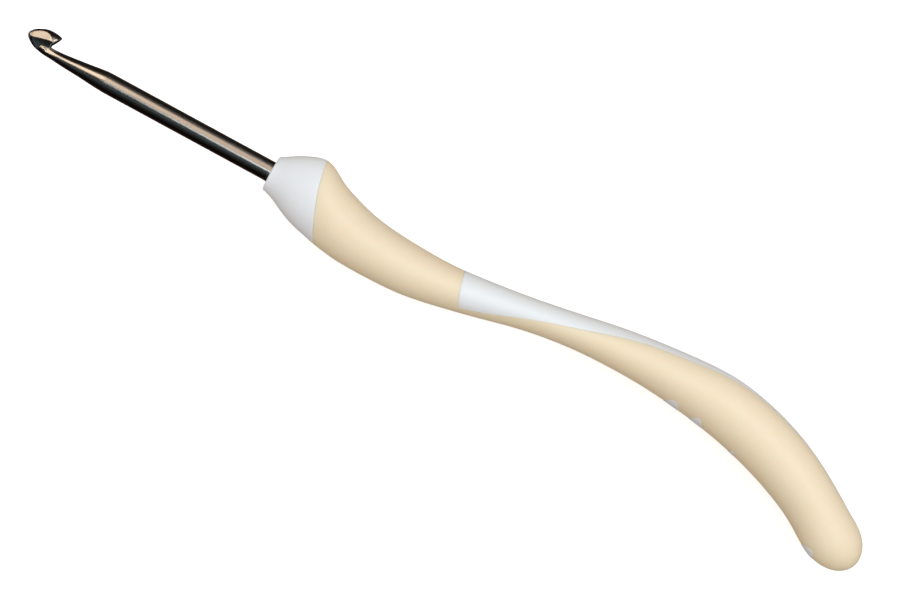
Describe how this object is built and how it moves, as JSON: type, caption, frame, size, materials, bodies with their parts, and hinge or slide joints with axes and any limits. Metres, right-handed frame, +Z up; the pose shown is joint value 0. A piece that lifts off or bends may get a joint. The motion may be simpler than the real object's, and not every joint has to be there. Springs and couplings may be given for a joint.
{
  "type": "crochet hook",
  "caption": "Slim polished hook with a rounded lip and tapered throat, fixed in an S-curved two-colour soft-grip handle for comfortable crocheting.",
  "frame": {"origin": "on the shaft's axis, in the plane of the handle's flat front face where the shaft comes out", "axes": "+X along the shaft towards the handle's tail, so the hook tip is at negative X; +Y towards the side the hook's mouth opens to; +Z up, normal to the plane of the S curve, with the tool lying on its side"},
  "size_m": [0.1599, 0.0203, 0.0132],
  "materials": {
    "polished_metal": "polished, bright plated metal",
    "white_plastic": "satin moulded hard plastic",
    "cream_soft_grip": "matte soft-touch thermoplastic rubber"
  },
  "bodies": {
    "root": {"hook_shaft": "polished_metal", "handle_core": "white_plastic", "soft_grip": "cream_soft_grip"}
  },
  "joints": []
}
